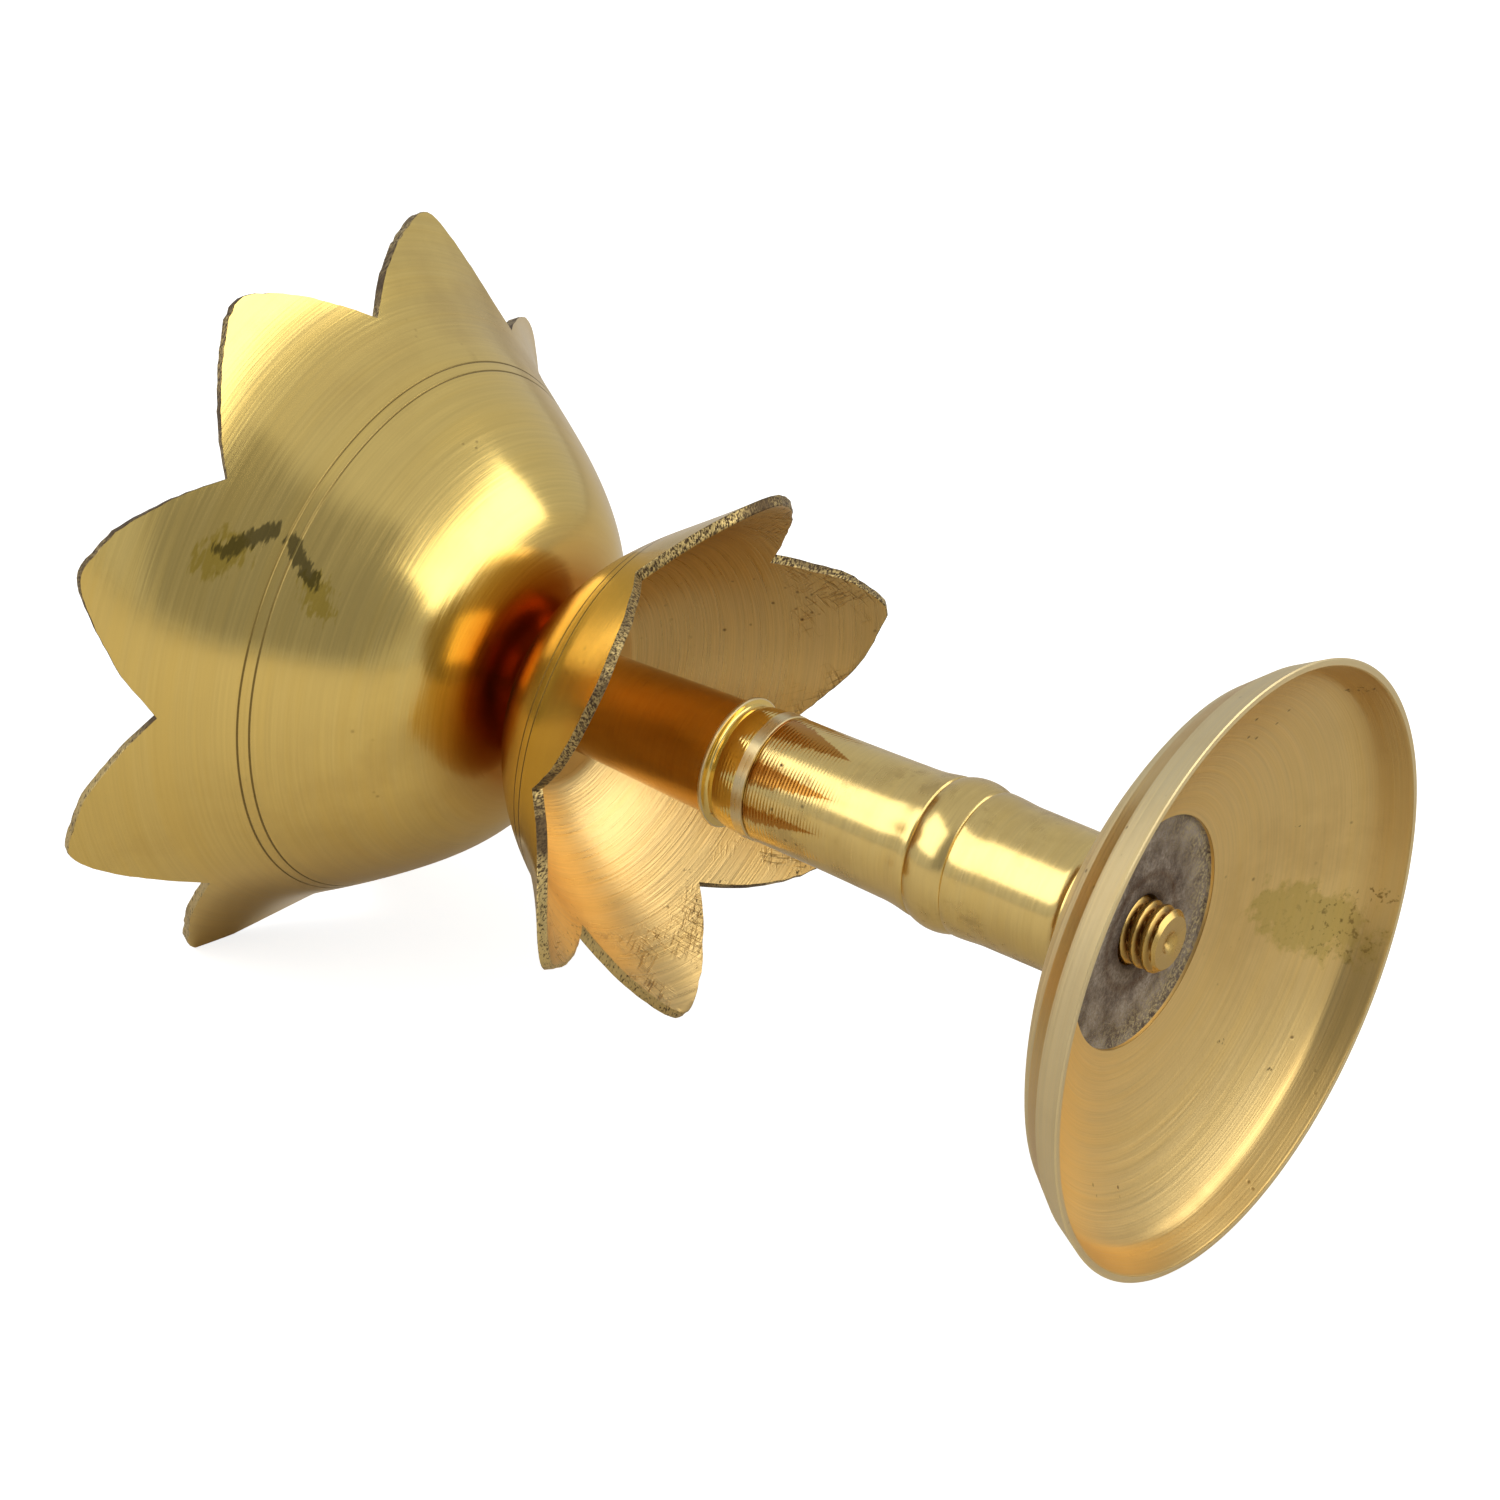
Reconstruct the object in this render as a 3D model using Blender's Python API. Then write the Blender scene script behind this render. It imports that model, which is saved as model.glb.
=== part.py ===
"""Brass lotus oil lamp on a turned stand.

Turned and sawn brass pieces are stacked on one threaded rod along +Z: a dished foot, a pillar with a
bead, a collar, a plain sleeve, a small lotus that opens downwards and a large lotus that opens upwards.
An oil cup drops over the nut inside the large lotus, and a wick holder stands in the cup.
The origin is the centre of the foot's rim, on the surface that the lamp stands on. Lengths are in metres.
"""

import math

import bmesh
import bpy
from mathutils import Vector

MM = 0.001
GAP = 0.3 * MM  # clearance between touching pieces

# Driving dimensions
FOOT_RADIUS = 37.0 * MM
FOOT_HEIGHT = 18.5 * MM
FOOT_RIM = 1.0 * MM  # thickness of the foot's edge
ROD_RADIUS = 3.95 * MM
THREAD_PITCH = 1.5 * MM
PILLAR_TOP = 62.7 * MM
COLLAR_HEIGHT = 6.2 * MM
SMALL_LOTUS_TOP = 94.6 * MM
SMALL_LOTUS_DEPTH = 24.6 * MM
SMALL_LOTUS_RADIUS = 32.7 * MM
LARGE_LOTUS_DEPTH = 38.2 * MM
LARGE_LOTUS_RADIUS = 47.0 * MM
LARGE_PETALS = 8
LARGE_NOTCH_HEIGHT = 29.5 * MM
PETAL_POINT = 1.25  # 1 gives straight-sided petals, and more gives rounder ones
CUP_RADIUS = 20.5 * MM
CUP_HEIGHT = 25.0 * MM

# Sizes that follow from them
BORE_RADIUS = ROD_RADIUS + GAP
ROD_BOTTOM = 9.4 * MM
PILLAR_BOTTOM = FOOT_HEIGHT + GAP
COLLAR_BOTTOM = PILLAR_TOP + GAP
SLEEVE_BOTTOM = COLLAR_BOTTOM + COLLAR_HEIGHT + GAP
SMALL_LOTUS_FLOOR = 2.0 * MM  # thickness at the crown
SMALL_LOTUS_WALL = 1.3 * MM
SLEEVE_TOP = SMALL_LOTUS_TOP - SMALL_LOTUS_FLOOR - GAP
LARGE_LOTUS_BOTTOM = SMALL_LOTUS_TOP + GAP
LARGE_LOTUS_FLOOR = 5.0 * MM
LARGE_LOTUS_WALL = 1.5 * MM
BOWL_FLOOR = LARGE_LOTUS_BOTTOM + LARGE_LOTUS_FLOOR
WASHER_THICKNESS = 1.6 * MM
WASHER_RADIUS = 8.0 * MM
WASHER_BOTTOM = BOWL_FLOOR + GAP
NUT_BOTTOM = WASHER_BOTTOM + WASHER_THICKNESS + GAP
NUT_HEIGHT = 5.5 * MM
NUT_ACROSS_FLATS = 13.0 * MM
ROD_TOP = NUT_BOTTOM + NUT_HEIGHT + 1.2 * MM
CUP_BOTTOM = BOWL_FLOOR + GAP
CUP_WALL = 1.2 * MM
SKIRT_RADIUS = 10.6 * MM
SKIRT_HEIGHT = 10.2 * MM
CUP_FLOOR = CUP_BOTTOM + SKIRT_HEIGHT + 1.4 * MM
WICK_FOOT_RADIUS = 6.5 * MM
WICK_TUBE_RADIUS = 2.8 * MM
WICK_BORE_RADIUS = 1.7 * MM
WICK_HEIGHT = 15.0 * MM

# The small lotus is sawn and bent by hand. Each row is a notch and the petal after it: the notch's direction in
# degrees and depth from the crown, then where the tip is between two notches, its depth, and its outward bend.
SMALL_PETALS = (
    (30, 14.3 * MM, 0.45, 23.0 * MM, 0),
    (90, 15.2 * MM, 0.50, SMALL_LOTUS_DEPTH, 0),
    (138, 15.3 * MM, 0.50, SMALL_LOTUS_DEPTH, 0),
    (193, 14.5 * MM, 0.50, 22.2 * MM, 4.2 * MM),
    (254, 14.8 * MM, 0.48, SMALL_LOTUS_DEPTH, 2.7 * MM),
    (317, 15.6 * MM, 0.50, 22.5 * MM, 4.1 * MM),
)

FINE = 56  # sides of a large round piece
MEDIUM = 40
COARSE = 28


def clear_scene():
    for obj in list(bpy.data.objects):
        bpy.data.objects.remove(obj, do_unlink=True)


def brass(name, colour, roughness):
    material = bpy.data.materials.new(name)
    material.use_nodes = True
    shader = material.node_tree.nodes["Principled BSDF"]
    shader.inputs["Base Color"].default_value = (*colour, 1.0)
    shader.inputs["Roughness"].default_value = roughness
    shader.inputs["Metallic"].default_value = 1.0
    material.diffuse_color = (*colour, 1.0)
    return material


def mm(*points):
    """Points given in millimetres, as (radius, height), in metres."""
    return [Vector((radius * MM, height * MM)) for radius, height in points]


def bezier(start, handle_a, handle_b, end, steps):
    """Points of a cubic curve from start to end, start left out."""
    points = []
    for i in range(1, steps + 1):
        t = i / steps
        u = 1 - t
        points.append(u**3 * start + 3 * u * u * t * handle_a + 3 * u * t * t * handle_b + t**3 * end)
    return points


def arc(start, end, bulge, steps):
    """Points of a round arc from start to end, start left out. A positive bulge is to the left."""
    chord = end - start
    half = chord.length / 2
    radius = (half * half + bulge * bulge) / (2 * abs(bulge))
    side = Vector((-chord.y, chord.x)).normalized() * math.copysign(1, bulge)
    centre = (start + end) / 2 + side * (abs(bulge) - radius)
    first = math.atan2(start.y - centre.y, start.x - centre.x)
    last = math.atan2(end.y - centre.y, end.x - centre.x)
    turn = (last - first + math.pi) % (2 * math.pi) - math.pi
    return [
        centre + radius * Vector((math.cos(first + turn * i / steps), math.sin(first + turn * i / steps)))
        for i in range(1, steps + 1)
    ]


def raised(points, height):
    return [Vector((point.x, point.y + height)) for point in points]


def add_object(name, bm, material):
    bmesh.ops.remove_doubles(bm, verts=bm.verts, dist=1e-7)
    bmesh.ops.recalc_face_normals(bm, faces=bm.faces)
    mesh = bpy.data.meshes.new(name)
    bm.to_mesh(mesh)
    bm.free()
    mesh.materials.append(material)
    mesh.shade_smooth()
    mesh.set_sharp_from_angle(angle=math.radians(35))
    obj = bpy.data.objects.new(name, mesh)
    bpy.context.scene.collection.objects.link(obj)
    return obj


def turned(name, outline_at, angles, material):
    """A closed round solid whose outline, a closed loop of (radius, height), may change with the angle."""
    bm = bmesh.new()
    columns = []
    for angle in angles:
        direction = Vector((math.cos(angle), math.sin(angle), 0))
        columns.append([bm.verts.new(direction * p.x + Vector((0, 0, p.y))) for p in outline_at(angle)])
    for this, following in zip(columns, columns[1:] + columns[:1]):
        for i in range(len(this)):
            bm.faces.new((this[i - 1], this[i], following[i], following[i - 1]))
    return add_object(name, bm, material)


def lathe(name, outline, sides, material):
    angles = [2 * math.pi * i / sides for i in range(sides)]
    return turned(name, lambda angle: outline, angles, material)


def at_length(points, length):
    """The point this far along a line of points, and the line's direction there."""
    for first, second in zip(points, points[1:]):
        step = (second - first).length
        if length <= step:
            return first + (second - first) * (length / step), (second - first).normalized()
        length -= step
    return points[-1], (points[-1] - points[-2]).normalized()


def length_to_height(points, height):
    """How far along a line of points the given height is reached."""
    length = 0.0
    for first, second in zip(points, points[1:]):
        if first.y <= height <= second.y:
            return length + (second - first).length * (height - first.y) / (second.y - first.y)
        length += (second - first).length
    return length


def petal_bowl(name, foot, curve, wall, floor, petals, columns, body_rows, crown, upright, material):
    """A thin bowl whose rim is sawn into pointed petals.

    foot is the outline from the bore to the start of curve, and curve the outer side from there to the
    petals' tips, with heights counted from the crown. petals holds (notch angle, notch height, tip share, tip
    height, bend) around the rim, where the tip share is the tip's place between its two notches and the bend
    is how far the tip is pushed outwards. columns is the number of columns to a petal. The crown is at that
    height in the lamp, and the bowl opens upwards from it when upright is 1, or downwards when it is -1.
    """
    petal_rows = 2
    below_notch = 1.5 * MM
    body_top = min(petal[1] for petal in petals) - below_notch
    body_length = length_to_height(curve, body_top)
    ends = {}
    bends = {}
    count = len(petals)
    for k in range(count):
        start, start_height, middle, tip, bend = petals[k]
        stop, stop_height = petals[(k + 1) % count][:2]
        slope = bend / (length_to_height(curve, tip) - body_length)
        if stop <= start:
            stop += 2 * math.pi
        for j in range(columns):
            share = j / columns
            angle = start + (stop - start) * share
            from_tip = 1 - share / middle if share < middle else (share - middle) / (1 - middle)
            rise = 1 - from_tip**PETAL_POINT
            base = start_height + (stop_height - start_height) * share
            ends[angle] = base + (tip - base) * rise
            bends[angle] = slope * math.sin(math.pi * share) ** 2

    def outline_at(angle):
        lengths = [body_length * i / body_rows for i in range(body_rows + 1)]
        end = length_to_height(curve, ends[angle])
        lengths += [body_length + (end - body_length) * i / petal_rows for i in range(1, petal_rows + 1)]
        outer = []
        inner = []
        for length in lengths:
            point, along = at_length(curve, length)
            point = point + Vector((bends[angle] * max(0, length - body_length), 0))
            outer.append(point)
            inside = point + Vector((-along.y, along.x)) * wall
            inner.append(Vector((inside.x, max(inside.y, floor))))
        outline = foot + outer + inner[::-1] + [Vector((BORE_RADIUS, floor))]
        return [Vector((point.x, crown + upright * point.y)) for point in outline]

    return turned(name, outline_at, list(ends), material)


def make_foot(material):
    rim = Vector((FOOT_RADIUS, 0))
    inner_rim = rim - Vector((FOOT_RIM, 0))
    crease, shoulder = mm((35.0, 3.7), (32.0, 7.4))
    seat = Vector((9.25 * MM, FOOT_HEIGHT))
    inner_crease, pad_edge, pad = mm((34.2, 4.1), (14.1, 12.7), (14.1, 13.4))
    outline = [inner_rim, rim]
    outline += arc(rim, crease, -0.25 * MM, 2)
    outline += arc(crease, shoulder, -0.15 * MM, 2)
    outline += bezier(shoulder, *mm((26.2, 11.3), (18.6, 14.3)), seat, 5)
    outline += [Vector((BORE_RADIUS, FOOT_HEIGHT)), Vector((BORE_RADIUS, pad.y)), pad, pad_edge]
    outline += arc(pad_edge, inner_crease, 1.2 * MM, 5)
    return lathe("base_foot", outline, FINE, material)


def make_pillar(material):
    bottom = PILLAR_BOTTOM / MM
    outline = mm((9.0, bottom), (9.0, bottom + 0.6), (8.5, bottom + 1.6), (8.5, 30.5), (8.7, 33.6), (8.4, 34.9))
    bead_end = mm((8.4, 40.2))[0]
    outline += arc(outline[-1], bead_end, -0.75 * MM, 5)
    outline += bezier(bead_end, *mm((8.15, 42.0), (8.0, 44.0), (7.75, 55.0)), 3)
    outline += mm((7.6, 62.0), (7.2, 62.7))
    outline += [Vector((BORE_RADIUS, PILLAR_TOP)), Vector((BORE_RADIUS, PILLAR_BOTTOM))]
    return lathe("pillar", outline, MEDIUM, material)


def make_collar(material):
    band_start, band_end, lip_start = mm((7.7, 0), (7.7, 1.6), (7.55, 5.3))
    outline = [band_start, band_end]
    outline += arc(band_end, lip_start, 0.6 * MM, 5)
    outline += mm((7.9, 5.7), (7.4, 6.2))
    outline += [Vector((BORE_RADIUS, COLLAR_HEIGHT)), Vector((BORE_RADIUS, 0))]
    return lathe("collar", raised(outline, COLLAR_BOTTOM), MEDIUM, material)


def make_sleeve(material):
    bottom_radius = 7.0 * MM
    top_radius = 6.1 * MM
    outline = [
        Vector((bottom_radius, SLEEVE_BOTTOM)),
        Vector((top_radius, SLEEVE_TOP)),
        Vector((BORE_RADIUS, SLEEVE_TOP)),
        Vector((BORE_RADIUS, SLEEVE_BOTTOM)),
    ]
    return lathe("inner_sleeve", outline, COARSE, material)


def make_small_lotus(material):
    start = mm((11.1, 0.3))[0]
    tip = Vector((SMALL_LOTUS_RADIUS, SMALL_LOTUS_DEPTH))
    curve = [start] + bezier(start, *mm((21.2, 5.6), (23.5, 12.4)), tip, 14)
    foot = [Vector((BORE_RADIUS, 0)), Vector((10.3 * MM, 0))]
    petals = [(math.radians(angle), *rest) for angle, *rest in SMALL_PETALS]
    return petal_bowl(
        "small_lotus", foot, curve, SMALL_LOTUS_WALL, SMALL_LOTUS_FLOOR, petals,
        columns=10, body_rows=4, crown=SMALL_LOTUS_TOP, upright=-1, material=material,
    )


def make_large_lotus(material):
    neck, neck_top, belly, waist = mm((8.0, 0), (8.0, 0.7), (13.9, 2.7), (34.1, 23.4))
    tip = Vector((LARGE_LOTUS_RADIUS, LARGE_LOTUS_DEPTH))
    curve = [belly] + bezier(belly, *mm((22.6, 4.2), (27.6, 12.6)), waist, 12)
    curve += bezier(waist, *mm((36.3, 27.2), (39.6, 33.0)), tip, 6)
    foot = [Vector((BORE_RADIUS, 0)), neck, neck_top]
    foot += bezier(neck_top, *mm((8.1, 1.6), (11.0, 2.1)), belly, 3)[:-1]
    pitch = 2 * math.pi / LARGE_PETALS
    petals = [((k + 0.5) * pitch, LARGE_NOTCH_HEIGHT, 0.5, LARGE_LOTUS_DEPTH, 0) for k in range(LARGE_PETALS)]
    return petal_bowl(
        "large_lotus", foot, curve, LARGE_LOTUS_WALL, LARGE_LOTUS_FLOOR, petals,
        columns=8, body_rows=6, crown=LARGE_LOTUS_BOTTOM, upright=1, material=material,
    )


def make_rod(material):
    """The tie rod, a stud with thread grooves and a centre-drilled end below the foot."""
    chamfer = 0.6 * MM
    crest_width = 0.2 * MM
    thread_turns = 2
    root = ROD_RADIUS - chamfer
    outline = [Vector((0, ROD_BOTTOM + 1.2 * MM)), Vector((1.3 * MM, ROD_BOTTOM))]
    outline.append(Vector((root, ROD_BOTTOM)))
    crest = ROD_BOTTOM + chamfer
    for turn in range(thread_turns):
        height = crest + turn * THREAD_PITCH
        outline.append(Vector((ROD_RADIUS, height)))
        outline.append(Vector((ROD_RADIUS, height + crest_width)))
        outline.append(Vector((root, height + THREAD_PITCH / 2)))
    outline.append(Vector((ROD_RADIUS, crest + thread_turns * THREAD_PITCH)))
    outline.append(Vector((ROD_RADIUS, ROD_TOP - chamfer)))
    outline.append(Vector((root, ROD_TOP)))
    outline.append(Vector((0, ROD_TOP)))
    bm = bmesh.new()
    points = [bm.verts.new((point.x, 0, point.y)) for point in outline]
    edges = [bm.edges.new(pair) for pair in zip(points, points[1:])]
    bmesh.ops.spin(
        bm, geom=points + edges, axis=(0, 0, 1), cent=(0, 0, 0), angle=2 * math.pi, steps=24, use_merge=True
    )
    return add_object("tie_rod", bm, material)


def make_washer(material):
    outline = [
        Vector((WASHER_RADIUS, WASHER_BOTTOM)),
        Vector((WASHER_RADIUS, WASHER_BOTTOM + WASHER_THICKNESS)),
        Vector((BORE_RADIUS, WASHER_BOTTOM + WASHER_THICKNESS)),
        Vector((BORE_RADIUS, WASHER_BOTTOM)),
    ]
    return lathe("clamp_washer", outline, COARSE, material)


def make_nut(material):
    """A hexagon nut: its chamfered corners are what is left inside a round, coned blank."""
    corner = NUT_ACROSS_FLATS / math.sqrt(3)
    chamfer = 0.8 * MM
    face = NUT_ACROSS_FLATS / 2 - 0.2 * MM  # radius of the round face inside the chamfer
    top = NUT_BOTTOM + NUT_HEIGHT
    middle = (NUT_BOTTOM + top) / 2
    bm = bmesh.new()
    bmesh.ops.create_cone(bm, cap_ends=True, segments=6, radius1=corner, radius2=corner, depth=NUT_HEIGHT)
    bmesh.ops.translate(bm, verts=bm.verts, vec=(0, 0, middle))
    nut = add_object("clamp_nut", bm, material)
    blank = [
        Vector((BORE_RADIUS, NUT_BOTTOM - MM)),
        Vector((face, NUT_BOTTOM - MM)),
        Vector((face, NUT_BOTTOM)),
        Vector((corner + GAP, NUT_BOTTOM + chamfer)),
        Vector((corner + GAP, top - chamfer)),
        Vector((face, top)),
        Vector((face, top + MM)),
        Vector((BORE_RADIUS, top + MM)),
    ]
    cutter = lathe("nut_blank", blank, COARSE, material)
    cutter.hide_render = True
    cutter.display_type = "WIRE"
    chamfers = nut.modifiers.new("chamfers_and_bore", "BOOLEAN")
    chamfers.operation = "INTERSECT"
    chamfers.object = cutter
    return nut


def make_cup(material):
    """A round oil cup on a hollow skirt, which drops over the nut and stands on the large lotus's floor."""
    bottom = CUP_BOTTOM
    skirt_top = bottom + SKIRT_HEIGHT
    rim = Vector((CUP_RADIUS, bottom + CUP_HEIGHT))
    waist = Vector((SKIRT_RADIUS - 0.6 * MM, skirt_top))
    outline = [Vector((SKIRT_RADIUS - CUP_WALL, bottom)), Vector((SKIRT_RADIUS + 1.0 * MM, bottom))]
    outline += [Vector((SKIRT_RADIUS, bottom + 1.4 * MM)), waist]
    outline += bezier(waist, waist + Vector((6, 1.2)) * MM, rim - Vector((0.5, 8)) * MM, rim, 7)
    inner_rim = rim - Vector((CUP_WALL, 0))
    floor_edge = Vector((9.0 * MM, CUP_FLOOR))
    outline.append(inner_rim)
    inner_a = inner_rim - Vector((0.5, 7)) * MM
    inner_b = floor_edge + Vector((4, 0.3)) * MM
    outline += bezier(inner_rim, inner_a, inner_b, floor_edge, 7)
    outline.append(Vector((0, CUP_FLOOR)))
    outline.append(Vector((0, skirt_top)))
    outline.append(Vector((SKIRT_RADIUS - CUP_WALL - 0.8 * MM, skirt_top)))
    bm = bmesh.new()
    points = [bm.verts.new((point.x, 0, point.y)) for point in outline]
    split = next(i for i, point in enumerate(outline) if point.x == 0)
    order = points[split + 1 :] + points[: split + 1]
    edges = [bm.edges.new(pair) for pair in zip(order, order[1:])]
    bmesh.ops.spin(
        bm, geom=points + edges, axis=(0, 0, 1), cent=(0, 0, 0), angle=2 * math.pi, steps=MEDIUM, use_merge=True
    )
    return add_object("oil_cup", bm, material)


def make_wick_holder(material):
    """A small bored tube on a round foot, standing loose in the middle of the cup."""
    bottom = CUP_FLOOR + GAP
    foot_top = bottom + 1.5 * MM
    top = bottom + WICK_HEIGHT
    tube_start = Vector((WICK_TUBE_RADIUS, foot_top + 2.0 * MM))
    foot_edge = Vector((WICK_FOOT_RADIUS, foot_top - 0.5 * MM))
    outline = [Vector((WICK_BORE_RADIUS, bottom)), Vector((WICK_FOOT_RADIUS, bottom)), foot_edge]
    outline += arc(foot_edge, tube_start, 0.7 * MM, 3)
    outline += [Vector((WICK_TUBE_RADIUS, top - 0.5 * MM)), Vector((WICK_TUBE_RADIUS - 0.4 * MM, top))]
    outline.append(Vector((WICK_BORE_RADIUS, top)))
    return lathe("wick_holder", outline, 24, material)


def main():
    clear_scene()
    make_foot(brass("foot_brass", (0.62, 0.43, 0.15), 0.30))
    make_pillar(brass("pillar_brass", (0.72, 0.50, 0.15), 0.18))
    make_collar(brass("collar_brass", (0.74, 0.50, 0.14), 0.15))
    make_sleeve(brass("sleeve_brass", (0.60, 0.32, 0.08), 0.25))
    make_small_lotus(brass("small_lotus_brass", (0.66, 0.43, 0.18), 0.28))
    make_large_lotus(brass("large_lotus_brass", (0.70, 0.52, 0.17), 0.24))
    make_rod(brass("rod_brass", (0.72, 0.48, 0.16), 0.25))
    make_washer(brass("washer_brass", (0.62, 0.42, 0.16), 0.35))
    make_nut(brass("nut_brass", (0.60, 0.42, 0.18), 0.32))
    make_cup(brass("cup_brass", (0.70, 0.48, 0.16), 0.25))
    make_wick_holder(brass("wick_holder_brass", (0.68, 0.46, 0.16), 0.28))


main()
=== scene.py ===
"""Brass lotus oil lamp: the looks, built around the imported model.

Lengths are in metres, with +Z along the lamp's rod and the origin at the centre of the foot's rim. The lamp
is shown lying on its side, so the camera is rolled and the floor is a plane that touches the foot's rim and
two petals of the large lotus.
"""

import math

import bmesh
import bpy
from mathutils import Matrix, Quaternion, Vector, noise


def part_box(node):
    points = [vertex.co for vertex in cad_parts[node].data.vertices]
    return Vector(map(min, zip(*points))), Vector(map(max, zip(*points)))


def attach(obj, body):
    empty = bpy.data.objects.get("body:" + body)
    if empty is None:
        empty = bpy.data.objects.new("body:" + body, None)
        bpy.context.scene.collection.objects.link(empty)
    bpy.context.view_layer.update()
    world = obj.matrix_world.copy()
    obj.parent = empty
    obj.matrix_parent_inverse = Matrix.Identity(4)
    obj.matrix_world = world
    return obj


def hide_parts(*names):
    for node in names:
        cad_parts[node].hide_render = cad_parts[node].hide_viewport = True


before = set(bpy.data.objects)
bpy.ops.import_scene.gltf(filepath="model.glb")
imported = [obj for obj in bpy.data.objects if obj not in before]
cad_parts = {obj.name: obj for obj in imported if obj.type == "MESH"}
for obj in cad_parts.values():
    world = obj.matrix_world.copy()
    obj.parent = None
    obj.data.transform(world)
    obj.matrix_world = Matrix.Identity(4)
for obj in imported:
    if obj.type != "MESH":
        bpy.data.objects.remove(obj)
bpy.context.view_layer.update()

MM = 0.001
TAU = 2 * math.pi

# Heights and radii read from the frame
LARGE_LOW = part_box("large_lotus")[0]
SMALL_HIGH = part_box("small_lotus")[1]
FOOT_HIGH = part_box("base_foot")[1]
PILLAR_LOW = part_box("pillar")[0]
COLLAR_LOW, COLLAR_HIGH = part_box("collar")
SLEEVE_LOW, SLEEVE_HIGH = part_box("inner_sleeve")
ROD_LOW, ROD_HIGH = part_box("tie_rod")
CUP_LOW, CUP_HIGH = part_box("oil_cup")
WICK_LOW, WICK_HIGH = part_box("wick_holder")

ROD_RADIUS = ROD_HIGH.x
BORE_RADIUS = ROD_RADIUS + 0.3 * MM
WEDGE_TOP = 61.5 * MM
FOOT_RADIUS = FOOT_HIGH.x

ROUND_SIDES = 240
PETAL_COLUMNS = 44
LARGE_NOTCH_HEIGHT = 29.5 * MM
# The small lotus is sawn and bent by hand. Each row is a notch and the petal after it: the notch's
# direction in degrees and its depth from the crown, then where the petal's tip is between its two notches,
# the tip's depth, and how far it is bent outwards.
SMALL_PETALS = (
    (30, 14.3 * MM, 0.41, 23.4 * MM, 1.0 * MM),
    (90, 14.4 * MM, 0.50, 24.0 * MM, 0.0),
    (138, 15.3 * MM, 0.57, 24.6 * MM, 0.2 * MM),
    (193, 14.5 * MM, 0.50, 22.2 * MM, 4.2 * MM),
    (254, 14.8 * MM, 0.48, 24.6 * MM, 2.7 * MM),
    (317, 15.6 * MM, 0.45, 22.5 * MM, 0.5 * MM),
)
# Where the large lotus's tips are between their notches, from the petal at 45 degrees on, and their heights
# above its lowest point
LARGE_TIPS = (
    (0.50, 38.2 * MM),
    (0.51, 38.2 * MM),
    (0.50, 38.2 * MM),
    (0.49, 38.2 * MM),
    (0.455, 38.2 * MM),
    (0.51, 37.6 * MM),
    (0.55, 37.3 * MM),
    (0.565, 38.0 * MM),
)


# ---------------------------------------------------------------- outlines

def mm(*points):
    """Points given in millimetres, as (radius, height), in metres."""
    return [Vector((radius * MM, height * MM)) for radius, height in points]


def raised(points, height):
    return [Vector((point.x, point.y + height)) for point in points]


def line(start, end, steps):
    return [start.lerp(end, i / steps) for i in range(1, steps + 1)]


def bezier(start, handle_a, handle_b, end, steps):
    """Points of a cubic curve from start to end, start left out."""
    points = []
    for i in range(1, steps + 1):
        t = i / steps
        u = 1 - t
        points.append(u**3 * start + 3 * u * u * t * handle_a + 3 * u * t * t * handle_b + t**3 * end)
    return points


def arc(start, end, bulge, steps):
    """Points of a round arc from start to end, start left out. A positive bulge is to the left."""
    chord = end - start
    half = chord.length / 2
    radius = (half * half + bulge * bulge) / (2 * abs(bulge))
    side = Vector((-chord.y, chord.x)).normalized() * math.copysign(1, bulge)
    centre = (start + end) / 2 + side * (abs(bulge) - radius)
    first = math.atan2(start.y - centre.y, start.x - centre.x)
    last = math.atan2(end.y - centre.y, end.x - centre.x)
    turn = (last - first + math.pi) % TAU - math.pi
    return [
        centre + radius * Vector((math.cos(first + turn * i / steps), math.sin(first + turn * i / steps)))
        for i in range(1, steps + 1)
    ]


# ---------------------------------------------------------------- meshes

def finished(name, bm, materials, sharp=40):
    bmesh.ops.remove_doubles(bm, verts=bm.verts, dist=1e-8)
    bmesh.ops.recalc_face_normals(bm, faces=bm.faces)
    mesh = bpy.data.meshes.new(name)
    bm.to_mesh(mesh)
    bm.free()
    for material in materials:
        mesh.materials.append(material)
    mesh.shade_smooth()
    mesh.set_sharp_from_angle(angle=math.radians(sharp))
    obj = bpy.data.objects.new(name, mesh)
    bpy.context.scene.collection.objects.link(obj)
    return obj


def turned(name, outline, materials, sides=ROUND_SIDES, slot_of=None, shift=None):
    """A closed round solid from a closed outline. slot_of gives the material's index from the middle of an
    outline's edge, and shift moves a vertex, given its angle, radius and height."""
    bm = bmesh.new()
    along = bm.verts.layers.float.new("along")
    columns = []
    for i in range(sides):
        angle = TAU * i / sides
        run = 0.0
        column = []
        for j, point in enumerate(outline):
            run += (point - outline[j - 1]).length if j else 0.0
            radius, height = point
            if shift:
                radius, height = shift(angle, radius, height)
            vert = bm.verts.new((math.cos(angle) * radius, math.sin(angle) * radius, height))
            vert[along] = run
            column.append(vert)
        columns.append(column)
    slots = [slot_of((outline[j - 1] + outline[j]) / 2) if slot_of else 0 for j in range(len(outline))]
    for this, following in zip(columns, columns[1:] + columns[:1]):
        for j in range(len(this)):
            face = bm.faces.new((this[j - 1], this[j], following[j], following[j - 1]))
            face.material_index = slots[j]
    return finished(name, bm, materials)


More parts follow.
